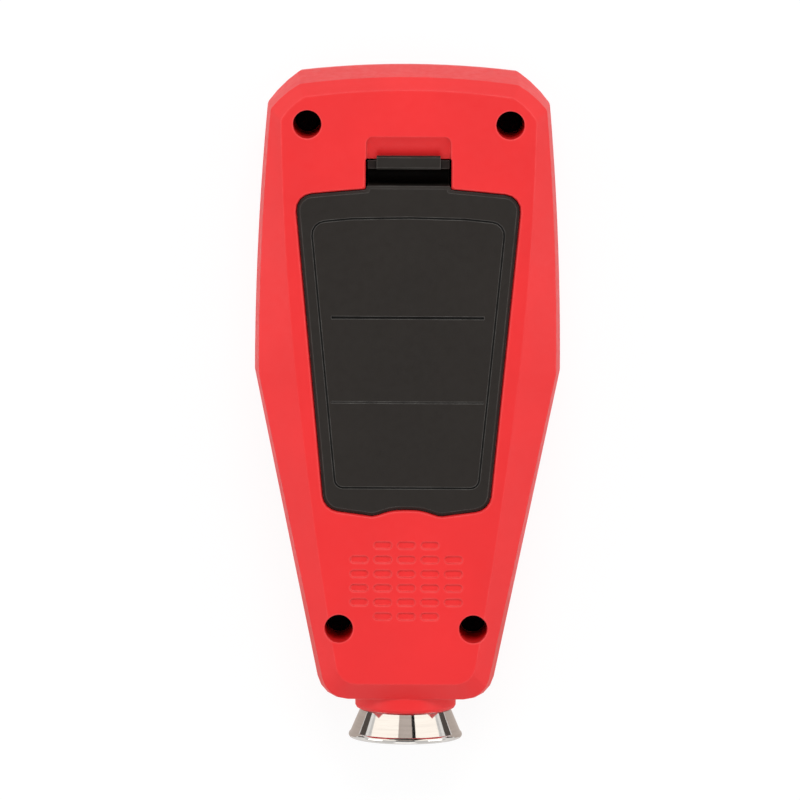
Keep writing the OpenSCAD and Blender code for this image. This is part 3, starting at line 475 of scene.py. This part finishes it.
def make_world():
    """White to the camera, pale in reflections, a soft studio dome to everything else."""
    world = bpy.data.worlds.new("studio")
    scene.world = world
    tree = empty_tree(world)
    rays = tree.nodes.new("ShaderNodeLightPath").outputs
    white = rgba(grey(1.0))
    dome = add(tree, "ShaderNodeBackground", Color=white, Strength=0.515)
    mirrored = add(tree, "ShaderNodeBackground", Color=white, Strength=0.80)
    backdrop = add(tree, "ShaderNodeBackground", Color=white, Strength=PLAIN_WHITE)
    seen = maths(tree, "MAXIMUM", rays["Is Camera Ray"], rays["Is Transmission Ray"])
    lit = mix_shaders(tree, rays["Is Glossy Ray"], dome.outputs["Background"], mirrored.outputs["Background"])
    mixed = mix_shaders(tree, seen, lit, backdrop.outputs["Background"])
    out = tree.nodes.new("ShaderNodeOutputWorld")
    link(tree, mixed, out.inputs["Surface"])


def area_light(name, place, size, watts):
    """A square lamp aimed at the gauge."""
    data = bpy.data.lights.new(name, "AREA")
    data.shape = "SQUARE"
    data.size = size
    data.energy = watts
    lamp = new_object(name, data)
    lamp.location = place
    aim = Vector(GAUGE_MIDDLE) - Vector(place)
    lamp.rotation_mode = "QUATERNION"
    lamp.rotation_quaternion = aim.to_track_quat("-Z", "Y")


make_floor()
make_world()
area_light("key_top", (0.03, 0.66, 0.90), size=0.5, watts=5.1)
area_light("fill_left", (-0.9, 0.0, 0.45), size=0.6, watts=2.2)
area_light("fill_right", (0.9, 0.0, 0.45), size=0.6, watts=2.2)
area_light("fill_low", (0.0, -0.9, 0.55), size=0.6, watts=1.1)


def card(name, middle, across, along, brightness, tint=(1.0, 1.0, 1.0)):
    """Studio card that only mirror-like surfaces see; across and along are its half sides."""
    centre = Vector(middle)
    side = Vector(across)
    rise = Vector(along)
    corners = [centre - side - rise, centre + side - rise, centre + side + rise, centre - side + rise]
    mesh = bpy.data.meshes.new(name)
    mesh.from_pydata(corners, [], [(0, 1, 2, 3)])
    mat = bpy.data.materials.new(name)
    tree = empty_tree(mat)
    glow = add(tree, "ShaderNodeEmission", Color=rgba(tint), Strength=brightness)
    out = tree.nodes.new("ShaderNodeOutputMaterial")
    link(tree, glow.outputs["Emission"], out.inputs["Surface"])
    mesh.materials.append(mat)
    board = new_object(name, mesh)
    board.visible_camera = False
    board.visible_diffuse = False
    board.visible_transmission = False
    board.visible_shadow = False


def level(way, angle):
    """Two level directions at right angles, turned by the angle to the left (-1) or the right (1)."""
    forward = Vector((way * math.sin(angle), math.cos(angle), 0.0))
    sideways = Vector((way * math.cos(angle), -math.sin(angle), 0.0))
    return forward, sideways


def studio_cards():
    """Pale, grey and dark strips that the chromed skirt mirrors."""
    warm_grey = (1.0, 0.87, 0.80)
    warm_white = (1.0, 0.95, 0.89)
    far = 0.5
    half_height = 0.36
    upright = (0.0, 0.0, half_height)
    white_turn = math.radians(42.0)
    dark_turn = math.radians(60.6)
    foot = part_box("probe_shroud")[0].y
    card("grey_strip", (0.0, foot + far, 0.48), (0.200, 0.0, 0.0), (0.0, 0.0, 0.30), 0.60, warm_grey)
    card("dark_top", (0.0, foot + 0.12, 0.42), (0.140, 0.0, 0.0), (0.0, 0.140, 0.0), 0.02)
    card("dark_low", (0.0, foot + 0.45, 0.21), (0.240, 0.0, 0.0), (0.0, 0.0, 0.09), 0.01)
    for way, side in ((-1, "left"), (1, "right")):
        out, along = level(way, white_turn)
        middle = Vector((0.0, foot, half_height)) + out * far
        card("white_" + side, middle, along * 0.192, upright, 1.5, warm_white)
        if side == "right":
            card("dark_edge", middle - out * 0.01 - along * 0.150, along * 0.042, upright, 0.01)
        run, across = level(way, dark_turn)
        place = Vector((way * 0.086, foot + 0.042, 0.0006))
        card("dark_" + side, place, run * 0.050, across * 0.013, 0.11, warm_grey)
        near = Vector((way * 0.0245, foot + 0.0082, 0.0004))
        card("floor_" + side, near, (0.0155, 0.0, 0.0), (0.0, 0.013, 0.0), 0.60, warm_grey)


studio_cards()


# Camera of the photograph: above the back, leaning a little to the top end

def make_camera():
    distance = 1.400
    tilt = math.radians(6.0)
    roll = math.radians(0.32)
    target = Vector((-1.23, 0.82, 14.0)) * MM
    pixels_per_mm = 5.865
    picture_width = 800.0
    data = bpy.data.cameras.new("photo_camera")
    data.sensor_width = 36.0
    data.lens = pixels_per_mm * distance / MM * data.sensor_width / picture_width
    data.clip_start = 0.05
    data.clip_end = 50.0
    camera = new_object("photo_camera", data)
    back = Vector((0.0, math.sin(tilt), math.cos(tilt)))
    up = Vector((-math.sin(roll), math.cos(roll), 0.0))
    right = up.cross(back).normalized()
    true_up = back.cross(right).normalized()
    turn = Matrix((right, true_up, back)).transposed()
    camera.rotation_mode = "QUATERNION"
    camera.rotation_quaternion = turn.to_quaternion()
    camera.location = target + back * distance
    scene.camera = camera


make_camera()
